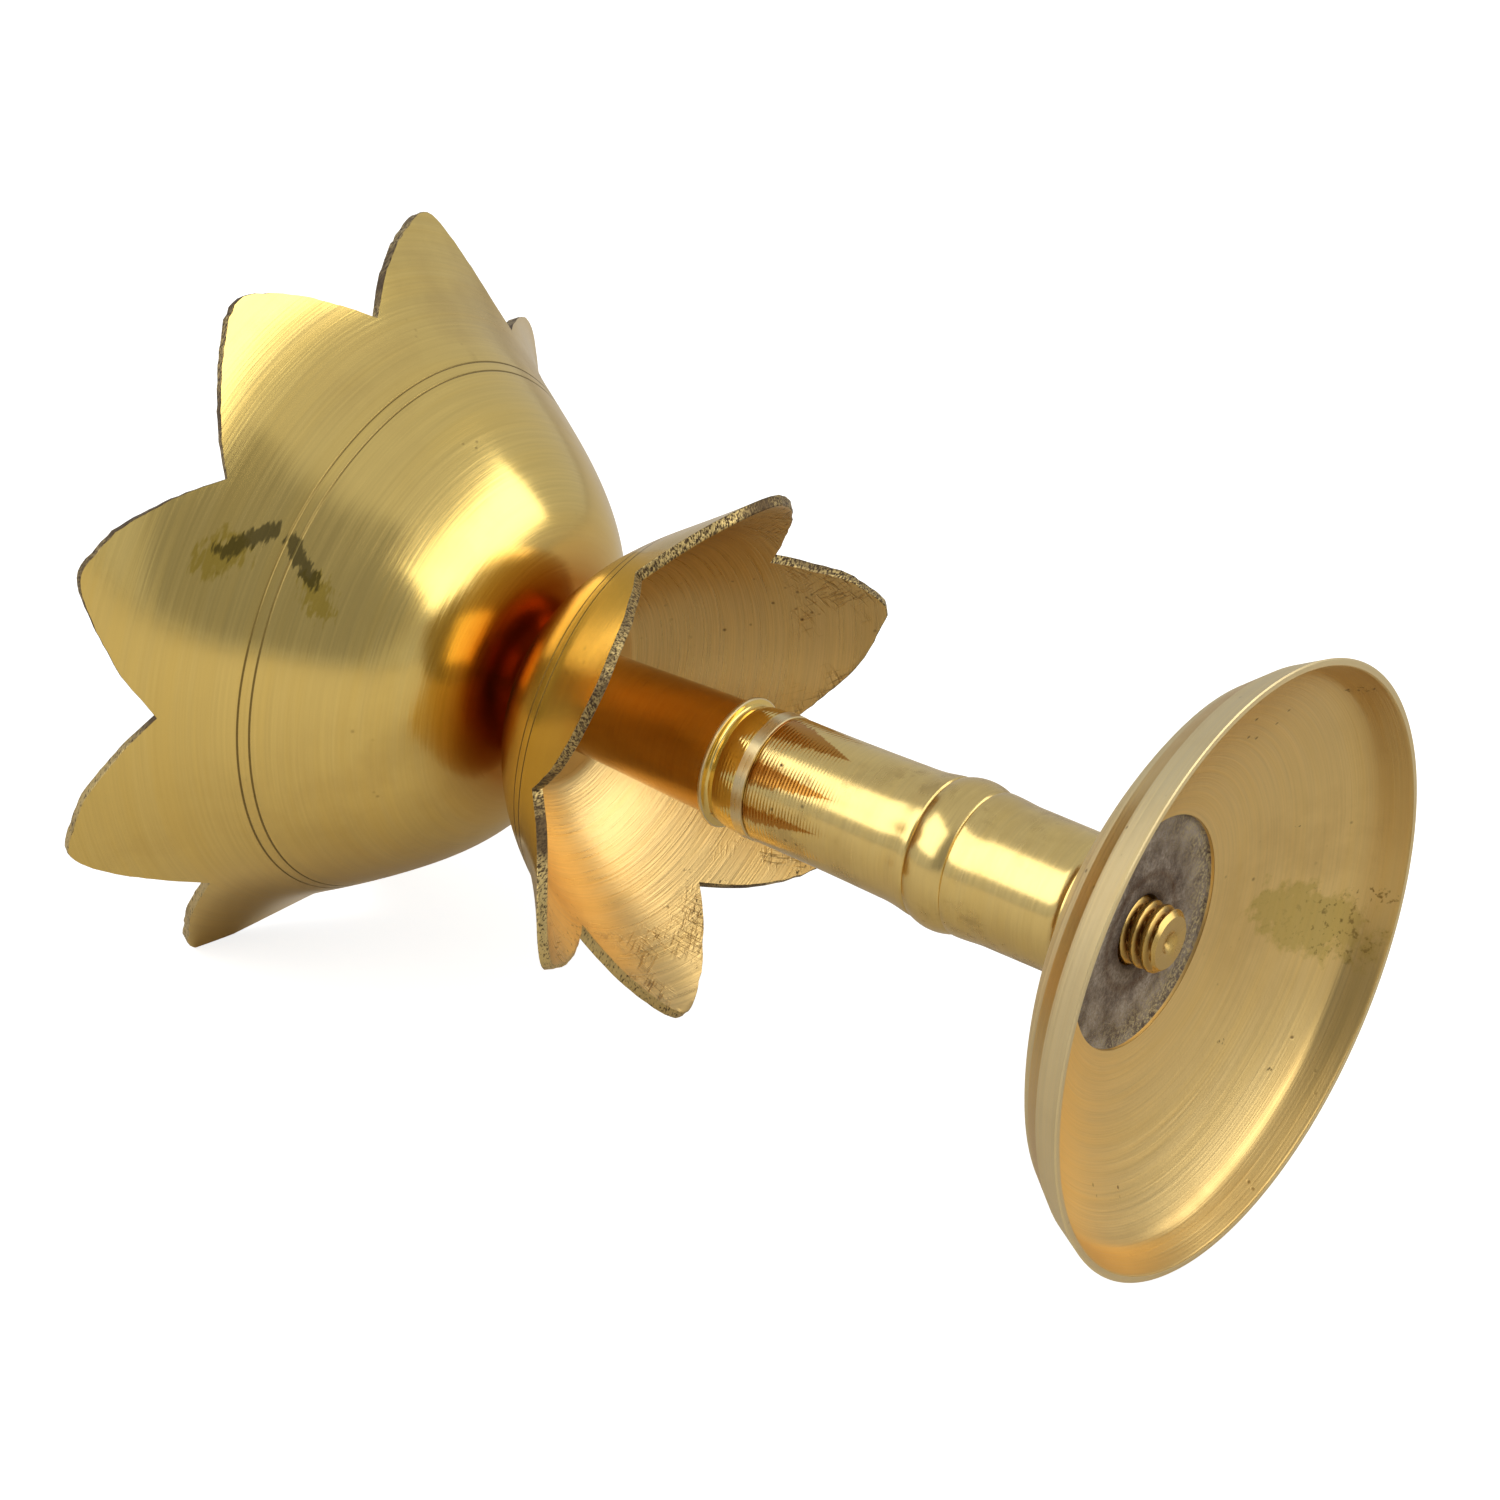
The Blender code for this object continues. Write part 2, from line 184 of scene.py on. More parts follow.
class Curve:
    """A line of points that is read by length or by height."""

    def __init__(self, points):
        self.points = points
        self.lengths = [0.0]
        for first, second in zip(points, points[1:]):
            self.lengths.append(self.lengths[-1] + (second - first).length)

    def at(self, length):
        i = 0
        while i < len(self.points) - 2 and self.lengths[i + 1] < length:
            i += 1
        first, second = self.points[i], self.points[i + 1]
        share = (length - self.lengths[i]) / (self.lengths[i + 1] - self.lengths[i])
        return first.lerp(second, share), (second - first).normalized()

    def length_at_height(self, height):
        for i, (first, second) in enumerate(zip(self.points, self.points[1:])):
            if first.y <= height <= second.y:
                share = (height - first.y) / (second.y - first.y)
                return self.lengths[i] + (self.lengths[i + 1] - self.lengths[i]) * share
        return self.lengths[-1]


def saw_wobble(angle, seed, size):
    """The unevenness of a hand-sawn edge."""
    place = Vector((math.cos(angle) * 9, math.sin(angle) * 9, seed))
    fine = Vector((math.cos(angle) * 60, math.sin(angle) * 60, seed + 5))
    return size * (noise.noise(place) + 0.45 * noise.noise(fine))


OUTSIDE, EDGE, INSIDE = 0, 1, 2


def petal_bowl(name, foot, curve, wall, floor, petals, columns, crown, upright, materials, lines, seed):
    """A thin bowl whose rim is sawn into pointed petals, opening up (upright 1) or down (upright -1).

    petals holds (notch angle, notch height, tip share, tip height, bend), with heights counted from the
    crown, and lines holds the heights of the fine grooves engraved around the outside.
    """
    body_step, below_notch = 0.7 * MM, 1.4 * MM
    petal_rows = 22
    line_depth, line_half = 0.06 * MM, 0.11 * MM
    tip_round, tip_power = 0.045, 1.28
    body_top = min(petal[1] for petal in petals) - below_notch
    body_length = curve.length_at_height(body_top)
    line_lengths = [curve.length_at_height(height) for height in lines]
    count = round(body_length / body_step)
    body = [body_length * i / count for i in range(count + 1)]
    body = [s for s in body if all(abs(s - at) > line_half * 2.4 for at in line_lengths)]
    for at in line_lengths:
        body += [at + line_half * share for share in (-1.6, -1, -0.5, 0, 0.5, 1, 1.6)]
    body.sort()

    def end_of(k, share):
        """The height of petal k's edge and its rise to the tip, at a share of the way between notches."""
        _, low, apex, tip, _ = petals[k]
        offset = 1 - share / apex if share < apex else (share - apex) / (1 - apex)
        fall = (math.sqrt(offset**2 + tip_round**2) - tip_round) / (1 - tip_round)
        rise = max(0.0, 1 - fall**tip_power)
        base = low + (petals[(k + 1) % len(petals)][1] - low) * share
        return base + (tip - base) * rise, rise

    bm = bmesh.new()
    along = bm.verts.layers.float.new("along")
    petal = bm.verts.layers.float.new("petal")
    rim = bm.verts.layers.float.new("rim")
    engraved = bm.verts.layers.float.new("engraved")
    rings = []
    for k, (start, _, _, tip, bend) in enumerate(petals):
        stop = petals[(k + 1) % len(petals)][0]
        petal_length = curve.length_at_height(tip) - body_length
        if stop <= start:
            stop += TAU
        for j in range(columns):
            share = j / columns
            angle = start + (stop - start) * share
            height, rise = end_of(k, share)
            height += saw_wobble(angle, seed, 0.28 * MM) * min(1.0, 0.25 + 2 * rise)
            end = curve.length_at_height(min(height, curve.points[-1].y))
            petal_step = (end - body_length) / petal_rows
            rows = body + [body_length + petal_step * i for i in range(1, petal_rows + 1)]
            lean = bend * math.sin(math.pi * share) ** 1.7
            around = Vector((math.cos(angle), math.sin(angle), 0))
            outer, inner = [], []
            for length in rows:
                point, direction = curve.at(length)
                out = max(0.0, length - body_length) / petal_length
                sway = 0.35 * MM * noise.noise(around * 1.6 + Vector((0, 0, length * 60 + seed)))
                point = point + Vector((lean * out**1.3 + sway * min(1, length / body_length) ** 2, 0))
                normal = Vector((-direction.y, direction.x))
                cut = sum(line_depth * max(0.0, 1 - abs(length - at) / line_half) for at in line_lengths)
                outer.append((point + normal * cut, length, out))
                inside = point + normal * wall
                inner.append((Vector((inside.x, max(inside.y, floor))), length, out))
            # the sawn edge has softened corners and a slightly hollow, uneven face
            tip_point, direction = outer[-1][0], (outer[-1][0] - outer[-2][0]).normalized()
            normal = Vector((-direction.y, direction.x))
            uneven = 0.10 * MM * noise.noise(around * 45 + Vector((0, 0, seed + 9)))
            edge = []
            for across, forward in ((0.10, 0.10), (0.32, 0.07), (0.68, 0.07), (0.90, 0.10)):
                further = forward * MM + uneven * math.sin(math.pi * across)
                at_edge = tip_point + direction * further + normal * wall * across
                edge.append((at_edge, outer[-1][1], 1.0))
            lowest = [(point, -0.001, 0.0) for point in foot]
            column = lowest + outer + edge + inner[::-1] + [(Vector((BORE_RADIUS, floor)), 0.0, 0.0)]
            ring = []
            for point, length, out in column:
                spot = bm.verts.new(around * point.x + Vector((0, 0, crown + upright * point.y)))
                spot[along] = length
                spot[petal] = out
                spot[rim] = end - length
                spot[engraved] = max(1 - abs(length - at) / (1.6 * line_half) for at in line_lengths)
                ring.append(spot)
            rings.append(ring)
            edge_from = len(lowest) + len(outer)
            edge_to = edge_from + len(edge)
    for this, following in zip(rings, rings[1:] + rings[:1]):
        for j in range(len(this)):
            face = bm.faces.new((this[j - 1], this[j], following[j], following[j - 1]))
            face.material_index = OUTSIDE if j < edge_from else EDGE if j <= edge_to else INSIDE
    return finished(name, bm, materials, sharp=50)


# ---------------------------------------------------------------- materials

class Nodes:
    """A short way to write a material's nodes."""

    def __init__(self, name):
        self.material = bpy.data.materials.new(name)
        self.material.use_nodes = True
        self.tree = self.material.node_tree
        self.shader = self.tree.nodes["Principled BSDF"]
        coordinates = self.tree.nodes.new("ShaderNodeTexCoord")
        self.place = coordinates.outputs["Object"]
        split = self.tree.nodes.new("ShaderNodeSeparateXYZ")
        self.link(self.place, split.inputs[0])
        self.x, self.y, self.z = split.outputs
        squares = [self.math("MULTIPLY", axis, axis) for axis in (self.x, self.y)]
        self.radius = self.math("SQRT", self.math("ADD", *squares))
        safe = self.math("MAXIMUM", self.radius, 1e-6)
        self.cos = self.math("DIVIDE", self.x, safe)
        self.sin = self.math("DIVIDE", self.y, safe)

    def link(self, output, target):
        self.tree.links.new(output, target)

    def put(self, value, target):
        if isinstance(value, (int, float, tuple)):
            target.default_value = value
        else:
            self.link(value, target)

    def math(self, operation, a, b=0.0, c=0.0, clamp=False):
        node = self.tree.nodes.new("ShaderNodeMath")
        node.operation = operation
        node.use_clamp = clamp
        for value, target in zip((a, b, c), node.inputs):
            self.put(value, target)
        return node.outputs[0]

    def attribute(self, name):
        node = self.tree.nodes.new("ShaderNodeAttribute")
        node.attribute_name = name
        return node.outputs["Fac"]

    def vector(self, x, y, z):
        node = self.tree.nodes.new("ShaderNodeCombineXYZ")
        for value, target in zip((x, y, z), node.inputs):
            self.put(value, target)
        return node.outputs[0]

    def noise(self, vector, scale=1.0, detail=2.0, rough=0.5):
        node = self.tree.nodes.new("ShaderNodeTexNoise")
        self.link(vector, node.inputs["Vector"])
        node.inputs["Scale"].default_value = scale
        node.inputs["Detail"].default_value = detail
        node.inputs["Roughness"].default_value = rough
        return node.outputs["Fac"]

    def cells(self, vector, scale):
        node = self.tree.nodes.new("ShaderNodeTexVoronoi")
        self.link(vector, node.inputs["Vector"])
        node.inputs["Scale"].default_value = scale
        return node.outputs["Distance"]

    def ramp(self, value, low, high, start=0.0, end=1.0):
        """The value from low to high, made start to end, and held outside."""
        node = self.tree.nodes.new("ShaderNodeMapRange")
        self.link(value, node.inputs["Value"])
        for key, number in (("From Min", low), ("From Max", high), ("To Min", start), ("To Max", end)):
            node.inputs[key].default_value = number
        return node.outputs["Result"]

    def mix(self, share, a, b, blend="MIX"):
        node = self.tree.nodes.new("ShaderNodeMix")
        node.data_type = "RGBA"
        node.blend_type = blend
        self.put(share, node.inputs["Factor"])
        for value, target in ((a, node.inputs["A"]), (b, node.inputs["B"])):
            self.put((*value, 1.0) if isinstance(value, tuple) else value, target)
        return node.outputs["Result"]

    def bump(self, height, distance, strength=1.0, below=None):
        node = self.tree.nodes.new("ShaderNodeBump")
        node.inputs["Strength"].default_value = strength
        node.inputs["Distance"].default_value = distance
        self.link(height, node.inputs["Height"])
        if below is not None:
            self.link(below, node.inputs["Normal"])
        return node.outputs["Normal"]

    def rotated(self, u, v, turn):
        """Two coordinates, turned by an angle."""
        cos, sin = math.cos(turn), math.sin(turn)
        across = self.math("ADD", self.math("MULTIPLY", u, cos), self.math("MULTIPLY", v, sin))
        down = self.math("SUBTRACT", self.math("MULTIPLY", v, cos), self.math("MULTIPLY", u, sin))
        return across, down

    def rings(self, run, spacing, streak=1.2, detail=3.0):
        """Noise stretched around the turning axis, changing over about one spacing along the surface."""
        vector = self.vector(
            self.math("MULTIPLY", self.cos, streak),
            self.math("MULTIPLY", self.sin, streak),
            self.math("MULTIPLY", run, 1.0 / spacing),
        )
        return self.noise(vector, 1.0, detail, 0.6)


def brass(
    name, colour, rough, tarnish=0.35, ring=0.34 * MM, ring_bump=0.5, ring_tint=0.10, spots=0.25,
    anisotropy=0.4, run="along", grime=0.0, extra=None,
):
    """Turned brass: turning rings, cloudy tarnish and dark pits, with dark dirt in engraved lines.

    run is what the rings follow, grime is how dark the engraved lines are, and extra is a function that
    changes the base colour, the roughness and the height at the end.
    """
    n = Nodes(name)
    run_value = n.z if run == "z" else n.attribute(run)
    rings = n.rings(run_value, ring, 1.3)
    bands = n.rings(run_value, 2.3 * MM, 0.7)
    clouds = n.ramp(n.noise(n.place, 70.0, 5.0, 0.6), 0.48, 0.70)
    clouds = n.math("MULTIPLY", clouds, n.ramp(n.noise(n.place, 21.0), 0.40, 0.60))
    base = n.mix(n.ramp(rings, 0.32, 0.70, 1.0, 0.0), colour, tuple(c * (1 - ring_tint) for c in colour))
    warmer = (colour[0] * 0.97, colour[1] * 0.91, colour[2] * 0.70)
    base = n.mix(n.ramp(bands, 0.45, 0.65, 0.0, 0.30), base, warmer)
    base = n.mix(n.math("MULTIPLY", clouds, tarnish), base, (0.36, 0.22, 0.07))
    pits = n.ramp(n.cells(n.place, 480.0), 0.05, 0.15, 1.0, 0.0)
    pits = n.math("MULTIPLY", pits, n.ramp(n.noise(n.place, 85.0), 0.58, 0.66))
    base = n.mix(n.math("MULTIPLY", pits, spots * 2.4, clamp=True), base, (0.09, 0.05, 0.02))
    roughness = n.ramp(rings, 0.3, 0.75, rough * 0.82, rough * 1.22)
    roughness = n.math("ADD", roughness, n.math("MULTIPLY", clouds, 0.07))
    height = n.math("ADD", rings, n.math("MULTIPLY", bands, 1.2))
    height = n.math("SUBTRACT", height, pits)
    if grime:
        line = n.math("MULTIPLY", n.ramp(n.attribute("engraved"), 0.02, 0.45), grime)
        base = n.mix(line, base, (0.045, 0.022, 0.008))
        roughness = n.math("ADD", roughness, n.math("MULTIPLY", line, 0.3))
    if extra:
        base, roughness, height = extra(n, base, roughness, height)
    n.link(base, n.shader.inputs["Base Color"])
    n.link(roughness, n.shader.inputs["Roughness"])
    n.link(n.bump(height, 0.00004 * ring_bump), n.shader.inputs["Normal"])
    n.shader.inputs["Metallic"].default_value = 1.0
    n.shader.inputs["Anisotropic"].default_value = anisotropy
    n.shader.inputs["Anisotropic Rotation"].default_value = 0.25
    tangent = n.tree.nodes.new("ShaderNodeTangent")
    tangent.direction_type = "RADIAL"
    tangent.axis = "Z"
    n.link(tangent.outputs[0], n.shader.inputs["Tangent"])
    return n.material


def filed(n, base, roughness, height):
    """Criss-cross file scratches towards the petal tips, and black specks of scale near the sawn edge."""
    petal = n.ramp(n.attribute("petal"), 0.10, 0.60)
    run = n.attribute("along")
    around = n.math("MULTIPLY", n.math("ARCTAN2", n.y, n.x), 26.0 * MM)
    per_metre = 2900.0
    for slant, stretch in ((0.5, 0.10), (-1.1, 0.14)):
        across, down = n.rotated(around, run, slant)
        across = n.math("MULTIPLY", across, per_metre * stretch)
        down = n.math("MULTIPLY", down, per_metre)
        lines = n.noise(n.vector(across, down, 3.0), 1.0, 2.0)
        patches = n.ramp(n.noise(n.place, 120.0), 0.42, 0.56)
        lines = n.math("MULTIPLY", n.math("MULTIPLY", n.ramp(lines, 0.54, 0.64), petal), patches)
        height = n.math("SUBTRACT", height, n.math("MULTIPLY", lines, 2.2))
        base = n.mix(n.math("MULTIPLY", lines, 0.45), base, (0.25, 0.14, 0.045))
    near = n.ramp(n.attribute("rim"), 0.3 * MM, 4.5 * MM, 1.0, 0.0)
    specks = n.ramp(n.noise(n.place, 1500.0, 2.0, 0.6), 0.63, 0.68)
    specks = n.math("MULTIPLY", specks, near)
    specks = n.math("MULTIPLY", specks, n.ramp(n.noise(n.place, 75.0), 0.48, 0.58))
    base = n.mix(n.math("MULTIPLY", specks, 0.9), base, (0.03, 0.018, 0.008))
    return base, roughness, height


def thread_root_painted_shade(n, base, roughness, height):
    """Painted shade: dark brown in the roots of the thread, where shade falls."""
    root = n.ramp(n.radius, ROD_RADIUS - 0.50 * MM, ROD_RADIUS - 0.03 * MM, 1.0, 0.0)
    root = n.math("MULTIPLY", root, n.ramp(n.z, ROD_LOW.z + 0.5 * MM, ROD_LOW.z + 0.9 * MM))
    # painted shade: dark brown mixed into the thread roots
    return n.mix(n.math("MULTIPLY", root, 0.85), base, (0.16, 0.07, 0.015)), roughness, height


def painted_neck_shade(reach, start):
    """Painted shade: brass made darker and deep orange near the rod, where the two lotuses meet, standing in
    for the shade and the reflected brass colour in that crevice.
    """
    def shade_the_neck(n, base, roughness, height):
        near = n.ramp(n.radius, start, reach, 1.0, 0.0)
        # painted shade: deep orange-brown mixed in more strongly nearer the rod
        base = n.mix(n.math("MULTIPLY", near, near), base, (0.50, 0.20, 0.016))
        return base, roughness, height

    return shade_the_neck


def chattered(n, base, roughness, height):
    """Fine tool chatter on the pillar's top and the collar, which makes reflections there jagged."""
    ridge = n.math("SINE", n.math("MULTIPLY", n.z, TAU / (0.44 * MM)))
    uneven = n.ramp(n.noise(n.place, 260.0), 0.30, 0.55, 0.3, 1.0)
    zone = n.math("MULTIPLY", n.ramp(n.z, 50 * MM, 55 * MM), uneven)
    height = n.math("ADD", height, n.math("MULTIPLY", n.math("MULTIPLY", ridge, zone), 1.1))
    return base, roughness, height


def chatter_and_painted_reflections(n, base, roughness, height):
    """Chatter, brown tarnish smudges, and jagged dark wedges running down from the pillar's top that are
    painted reflections of the small lotus's petals and the sleeve.
    """
    base, roughness, height = chattered(n, base, roughness, height)
    turn = n.math("MULTIPLY", n.math("ARCTAN2", n.y, n.x), 180 / math.pi)
    jag = n.vector(n.math("MULTIPLY", turn, 0.03), n.math("MULTIPLY", n.z, 4200.0), 0.0)
    jag = n.ramp(n.noise(jag, 1.0, 2.0), 0.3, 0.7, -4.0, 4.0)
    reflection_mask = None
    # painted reflections of the small lotus's petals and the sleeve, as jagged wedges
    # direction at the top and half the width there in degrees, then direction and height of the point
    painted_reflection_wedges = (
        (-29, 17, -39, 52.0),
        (-81, 11, -78, 51.0),
        (-119, 9, -111, 52.0),
        (21, 10, 17, 54.0),
        (75, 13, 81, 51.5),
        (141, 11, 137, 53.0),
    )
    for top, half, tip, low in painted_reflection_wedges:
        rise = n.ramp(n.z, low * MM, WEDGE_TOP)
        centre = n.math("ADD", n.math("MULTIPLY", rise, top - tip), tip)
        off = n.math("ABSOLUTE", n.math("SUBTRACT", turn, centre))
        width = n.math("ADD", n.math("MULTIPLY", rise, half), n.math("MULTIPLY", jag, rise))
        inside = n.ramp(n.math("SUBTRACT", width, off), 0.0, 1.2)
        reflection_mask = inside if reflection_mask is None else n.math("MAXIMUM", reflection_mask, inside)
    smudges = n.ramp(n.noise(n.place, 240.0, 4.0, 0.6), 0.52, 0.64)
    smudges = n.math("MULTIPLY", smudges, n.ramp(n.noise(n.place, 65.0), 0.46, 0.60))
    base = n.mix(n.math("MULTIPLY", smudges, 0.5), base, (0.40, 0.27, 0.10))
    roughness = n.math("ADD", roughness, n.math("MULTIPLY", smudges, 0.12))
    # painted reflection: the wedges are mixed in as dark orange-brown
    return n.mix(n.math("MULTIPLY", reflection_mask, 0.92), base, (0.46, 0.20, 0.028)), roughness, height


def streak(n, start, stop, width, ragged):
    """1 on a short smear between two places, with a ragged edge, and 0 off it."""
    step = stop - start
    offset = [n.math("SUBTRACT", axis, at) for axis, at in zip((n.x, n.y, n.z), start)]
    share = [n.math("MULTIPLY", axis, size / step.length_squared) for axis, size in zip(offset, step)]
    share = n.math("ADD", n.math("ADD", share[0], share[1]), share[2], clamp=True)
    squares = []
    for axis, size in zip(offset, step):
        gap = n.math("SUBTRACT", axis, n.math("MULTIPLY", share, size))
        squares.append(n.math("MULTIPLY", gap, gap))
    far = n.math("SQRT", n.math("ADD", n.math("ADD", squares[0], squares[1]), squares[2]))
    far = n.math("ADD", far, n.ramp(ragged, 0.3, 0.7, -0.5 * width, 0.5 * width))
    return n.ramp(far, 0.55 * width, 0.9 * width, 1.0, 0.0)


def bowl_painted_light_and_dots(n, base, roughness, height):
    """Marks on the big bowl: painted shade towards the rod, a painted dark reflection as two black smears
    with painted yellow glints at their ends, and a few small brown dots.
    """
    # painted shade towards the rod, as on the small lotus
    base, roughness, height = painted_neck_shade(23 * MM, 12.5 * MM)(n, base, roughness, height)
    ragged = n.rings(n.attribute("along"), 0.5 * MM, 16.0, 2.0)
    # painted reflections: the yellow streaks are painted glints and the black ones a painted dark reflection
    # start, end and width in millimetres
    yellow = (
        ((5.2, -36.6, 122.9), (7.4, -35.0, 121.0), 2.5),
        ((4.0, -29.2, 110.8), (5.6, -29.9, 112.6), 2.1),
    )
    black = (
        ((6.8, -35.6, 121.9), (10.6, -32.2, 118.2), 1.25),
        ((9.9, -31.2, 116.0), (6.1, -30.0, 112.6), 1.2),
    )
    for marks, shade, strength in ((yellow, (0.62, 0.42, 0.05), 0.75), (black, (0.06, 0.05, 0.016), 0.72)):
        for start, stop, width in marks:
            mark = streak(n, Vector(start) * MM, Vector(stop) * MM, width * MM, ragged)
            base = n.mix(n.math("MULTIPLY", mark, strength), base, shade)
    dots = n.ramp(n.cells(n.place, 95.0), 0.06, 0.11, 1.0, 0.0)
    dots = n.math("MULTIPLY", dots, n.ramp(n.noise(n.place, 38.0), 0.52, 0.60))
    base = n.mix(n.math("MULTIPLY", dots, 0.5), base, (0.30, 0.18, 0.05))
    return base, roughness, height


def sawn_edge(name):
    """The petals' cut edges: saw marks across the sheet, dark oxide and some bare brass, with more bright
    brass painted on towards -x, where the edges are lit.
    """
    n = Nodes(name)
    turn = [n.math("MULTIPLY", part, 130.0) for part in (n.cos, n.sin)]
    marks = n.noise(n.vector(*turn, n.math("MULTIPLY", n.z, 5000.0)), 1.0, 3.0, 0.6)
    patches = n.noise(n.place, 110.0, 3.0, 0.55)
    # painted light: more bare brass towards -x, where the edges catch the light
    lower = n.ramp(n.x, -24 * MM, -12 * MM, 0.11, 0.0)
    bare = n.ramp(n.math("ADD", patches, lower), 0.42, 0.56)
    bright = n.math("MULTIPLY", n.ramp(n.math("ADD", marks, lower), 0.44, 0.58), bare)
    colour = n.mix(n.ramp(marks, 0.3, 0.7), (0.055, 0.034, 0.018), (0.19, 0.125, 0.055))
    colour = n.mix(n.math("MULTIPLY", bright, 0.85), colour, (0.72, 0.53, 0.20))
    n.link(colour, n.shader.inputs["Base Color"])
    n.link(n.ramp(bright, 0.0, 1.0, 0.55, 0.33), n.shader.inputs["Roughness"])
    n.shader.inputs["Metallic"].default_value = 0.8
    n.link(n.bump(marks, 0.00008), n.shader.inputs["Normal"])
    return n.material


def cast_pad(name):
    """The rough grey as-cast skin under the middle of the foot, browner around the stud, with bright brass
    flecks towards its edge that are partly bare brass and partly painted glints, stronger towards +y where
    the light falls.
    """
    n = Nodes(name)
    grain = n.noise(n.place, 2100.0, 5.0, 0.72)
    lumps = n.noise(n.place, 300.0, 4.0, 0.6)
    grey = n.mix(n.ramp(lumps, 0.36, 0.64), (0.13, 0.095, 0.07), (0.40, 0.34, 0.27))
    grey = n.mix(n.ramp(grain, 0.42, 0.62, 0.0, 0.5), grey, (0.10, 0.07, 0.05))
    ring = n.math("ABSOLUTE", n.math("MULTIPLY", n.math("SUBTRACT", n.radius, 6.9 * MM), 1250.0))
    ring = n.math("SUBTRACT", 1.0, ring, clamp=True)
    grey = n.mix(n.math("MULTIPLY", ring, 0.6), grey, (0.10, 0.05, 0.02))
    grey = n.mix(n.ramp(n.radius, 4.2 * MM, 6.2 * MM, 0.85, 0.0), grey, (0.07, 0.035, 0.015))
    # painted glints: bright brass flecks towards the edge, made stronger towards +y
    rim = n.math("MULTIPLY", n.ramp(n.radius, 8.5 * MM, 13.5 * MM), n.ramp(grain, 0.47, 0.58))
    rim = n.math("MULTIPLY", rim, n.ramp(n.y, -4 * MM, 8 * MM, 0.25, 1.0))
    grey = n.mix(n.math("MULTIPLY", rim, 0.8), grey, (0.70, 0.58, 0.32))
    n.link(grey, n.shader.inputs["Base Color"])
    n.link(n.ramp(grain, 0.3, 0.7, 0.36, 0.70), n.shader.inputs["Roughness"])
    n.shader.inputs["Metallic"].default_value = 0.6
    height = n.math("ADD", n.math("MULTIPLY", grain, 0.7), lumps)
    n.link(n.bump(height, 0.0006), n.shader.inputs["Normal"])
    return n.material


def stains_and_painted_rim_shade(n, base, roughness, height):
    """A green-brown handling stain and a few dark specks on the spun underside of the foot, and painted
    shade darkening the strip between the inner crease and the rim.
    """
    def patch(x, y, reach_x, reach_y, turn):
        u, v = n.rotated(n.math("SUBTRACT", n.x, x), n.math("SUBTRACT", n.y, y), turn)
        u = n.math("DIVIDE", u, reach_x)
        v = n.math("DIVIDE", v, reach_y)
        far = n.math("SQRT", n.math("ADD", n.math("MULTIPLY", u, u), n.math("MULTIPLY", v, v)))
        ragged = n.math("ADD", far, n.ramp(n.noise(n.place, 420.0, 4.0, 0.6), 0.3, 0.7, -0.35, 0.35))
        return n.ramp(ragged, 0.75, 1.0, 1.0, 0.0)

    stain = patch(3.0 * MM, 28.2 * MM, 4.4 * MM, 8.2 * MM, 0.15)
    speckle = n.ramp(n.noise(n.place, 1300.0, 3.0, 0.6), 0.56, 0.66)
    base = n.mix(n.math("MULTIPLY", stain, 0.50), base, (0.45, 0.345, 0.07))
    outer = n.ramp(n.radius, 27 * MM, 32 * MM, 0.15, 0.75)
    base = n.mix(n.math("MULTIPLY", n.math("MULTIPLY", stain, speckle), outer), base, (0.16, 0.11, 0.035))
    # place and size in millimetres
    groups = ((7.6, 33.7, 1.7), (-12.1, 21.5, 1.3), (32.5, 12.6, 1.2), (-15.0, 28.0, 0.5), (14.0, 22.0, 0.6))
    for x, y, size in groups:
        mark = n.math("MULTIPLY", patch(x * MM, y * MM, size * MM, size * 0.6 * MM, x), speckle)
        base = n.mix(n.math("MULTIPLY", mark, 0.85), base, (0.05, 0.035, 0.015))
    # painted shade: the strip between the inner crease and the rim is made darker brown
    base = n.mix(n.ramp(n.radius, 32.5 * MM, 35.0 * MM, 0.0, 0.42), base, (0.46, 0.27, 0.065))
    roughness = n.math("ADD", roughness, n.math("MULTIPLY", stain, 0.06))
    return base, roughness, height


